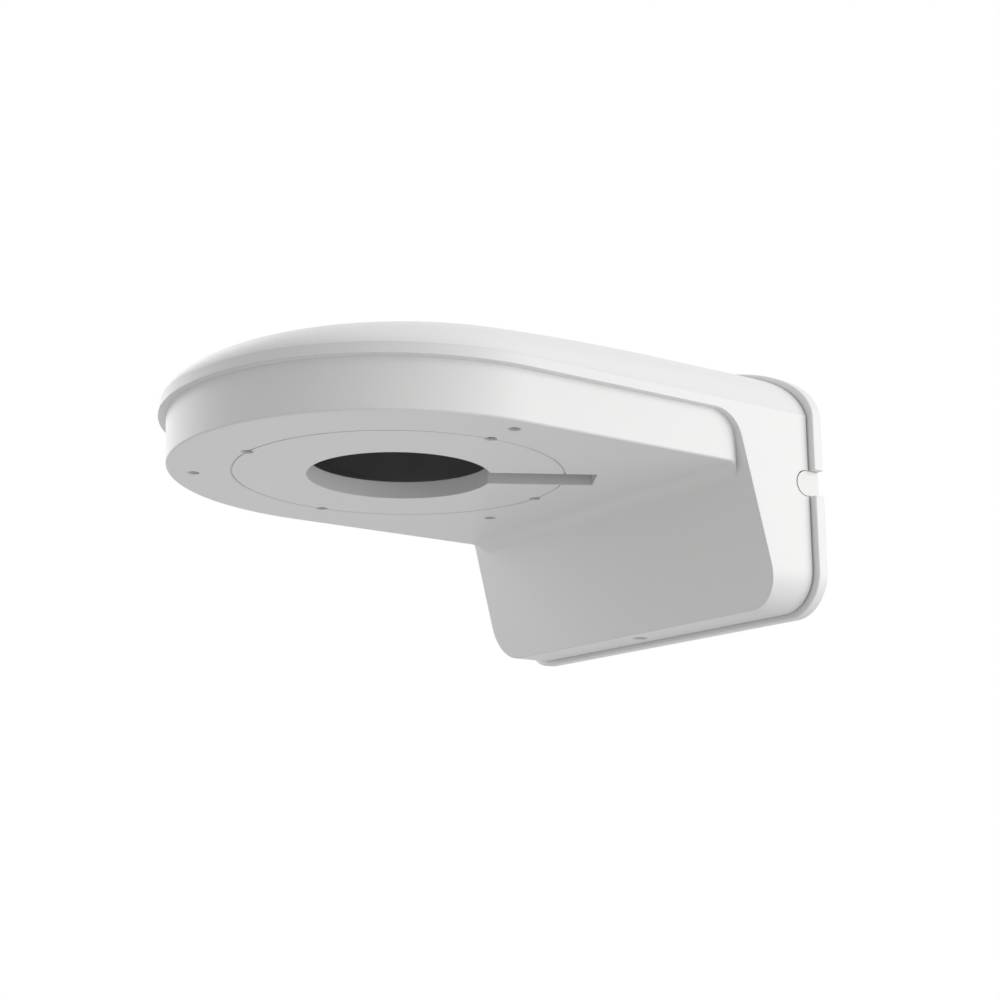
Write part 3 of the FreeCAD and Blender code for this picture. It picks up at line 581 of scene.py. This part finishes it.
def seen_directly(board):
    """1 for what the camera, a mirror or clear glass sees directly, 0 for light on surfaces."""
    camera, mirror, glass = [board.node("ShaderNodeLightPath", output=ray) for ray in SEEN_RAYS]
    return camera.highest(mirror).highest(glass)


def studio_world(settings):
    """Even pale light, and plain white where the background is seen."""
    world = bpy.data.worlds.new("studio")
    bpy.context.scene.world = world
    board = Board(world)
    dim = board.node("ShaderNodeBackground", None, {"Color": grey(1.0), "Strength": settings.ambient})
    white = board.node("ShaderNodeBackground", None, {"Color": grey(1.0), "Strength": 1.0})
    board.close(board.either(seen_directly(board), dim, white), "ShaderNodeOutputWorld")


def studio_floor(settings):
    """Pale floor that keeps the shadow and throws back only part of the light."""
    deselect()
    place = (STAGE_CENTRE.x, STAGE_CENTRE.y, settings.floor_level)
    bpy.ops.mesh.primitive_plane_add(size=FLOOR_SIZE, location=place)
    floor = bpy.context.object
    floor.name = "floor"
    material = bpy.data.materials.new("pale_floor")
    board = Board(material)
    seen = board.node("ShaderNodeBsdfDiffuse", None, {"Color": grey(FLOOR_SEEN)})
    thrown = board.node("ShaderNodeBsdfDiffuse", None, {"Color": grey(settings.floor_bounce)})
    board.close(board.either(seen_directly(board), thrown, seen))
    floor.data.materials.append(material)


def lamp(name, place, size, power):
    """A square soft lamp that looks at the bracket."""
    data = bpy.data.lights.new(name, "AREA")
    data.shape = "SQUARE"
    data.size = size
    data.energy = power
    made = bpy.data.objects.new(name, data)
    bpy.context.scene.collection.objects.link(made)
    made.location = place
    made.rotation_euler = (STAGE_CENTRE - place).to_track_quat("-Z", "Y").to_euler()


def studio_camera(settings):
    """The camera, at the angle of the photograph."""
    data = bpy.data.cameras.new("camera")
    data.sensor_width = SENSOR_WIDTH_MM
    data.lens = settings.lens
    data.clip_start = NEAREST_SEEN
    camera = bpy.data.objects.new("camera", data)
    bpy.context.scene.collection.objects.link(camera)
    turn = (Matrix.Rotation(settings.azimuth, 4, "Z")
            @ Matrix.Rotation(math.pi / 2 - settings.elevation, 4, "X")
            @ Matrix.Rotation(settings.roll, 4, "Z"))
    camera.matrix_world = Matrix.Translation(settings.place) @ turn
    bpy.context.scene.camera = camera


class BRACKET_OT_stage(bpy.types.Operator):
    """Set the floor, the soft lamps and the camera"""

    bl_idname = "bracket.stage"
    bl_label = "Stage"

    def execute(self, context):
        settings = context.scene.bracket_stage
        context.scene.view_settings.view_transform = "Standard"
        studio_world(settings)
        studio_floor(settings)
        lamp("right_lamp", RIGHT_LAMP_PLACE, SIDE_LAMP_SIZE, settings.right_power)
        lamp("left_lamp", LEFT_LAMP_PLACE, SIDE_LAMP_SIZE, settings.left_power)
        lamp("top_lamp", TOP_LAMP_PLACE, TOP_LAMP_SIZE, settings.top_power)
        studio_camera(settings)
        return {"FINISHED"}


OPERATORS = (BRACKET_OT_casting, BRACKET_OT_plate, BRACKET_OT_plug, BRACKET_OT_screw,
             BRACKET_OT_gasket, BRACKET_OT_threads, BRACKET_OT_stage)


class BRACKET_PT_panel(bpy.types.Panel):
    """Lists the pieces of the bracket, its stage and their settings"""

    bl_idname = "BRACKET_PT_panel"
    bl_label = "Camera wall bracket"
    bl_space_type = "VIEW_3D"
    bl_region_type = "UI"
    bl_category = "Bracket"

    def draw(self, context):
        column = self.layout.column()
        for operator in OPERATORS:
            column.operator(operator.bl_idname)
        for name, group in GROUPS.items():
            for setting in group.__annotations__:
                column.prop(getattr(context.scene, name), setting)


def register():
    for name, group in GROUPS.items():
        bpy.utils.register_class(group)
        setattr(bpy.types.Scene, name, PointerProperty(type=group))
    for made in OPERATORS + (BRACKET_PT_panel,):
        bpy.utils.register_class(made)


def unregister():
    for made in reversed(OPERATORS + (BRACKET_PT_panel,)):
        bpy.utils.unregister_class(made)
    for name, group in GROUPS.items():
        delattr(bpy.types.Scene, name)
        bpy.utils.unregister_class(group)


def main():
    """Make every piece and the stage."""
    register()
    bpy.ops.bracket.casting()
    bpy.ops.bracket.plate()
    bpy.ops.bracket.plug()
    bpy.ops.bracket.screw()
    bpy.ops.bracket.gasket()
    bpy.ops.bracket.threads()
    bpy.ops.bracket.stage()


if __name__ == "__main__":
    main()
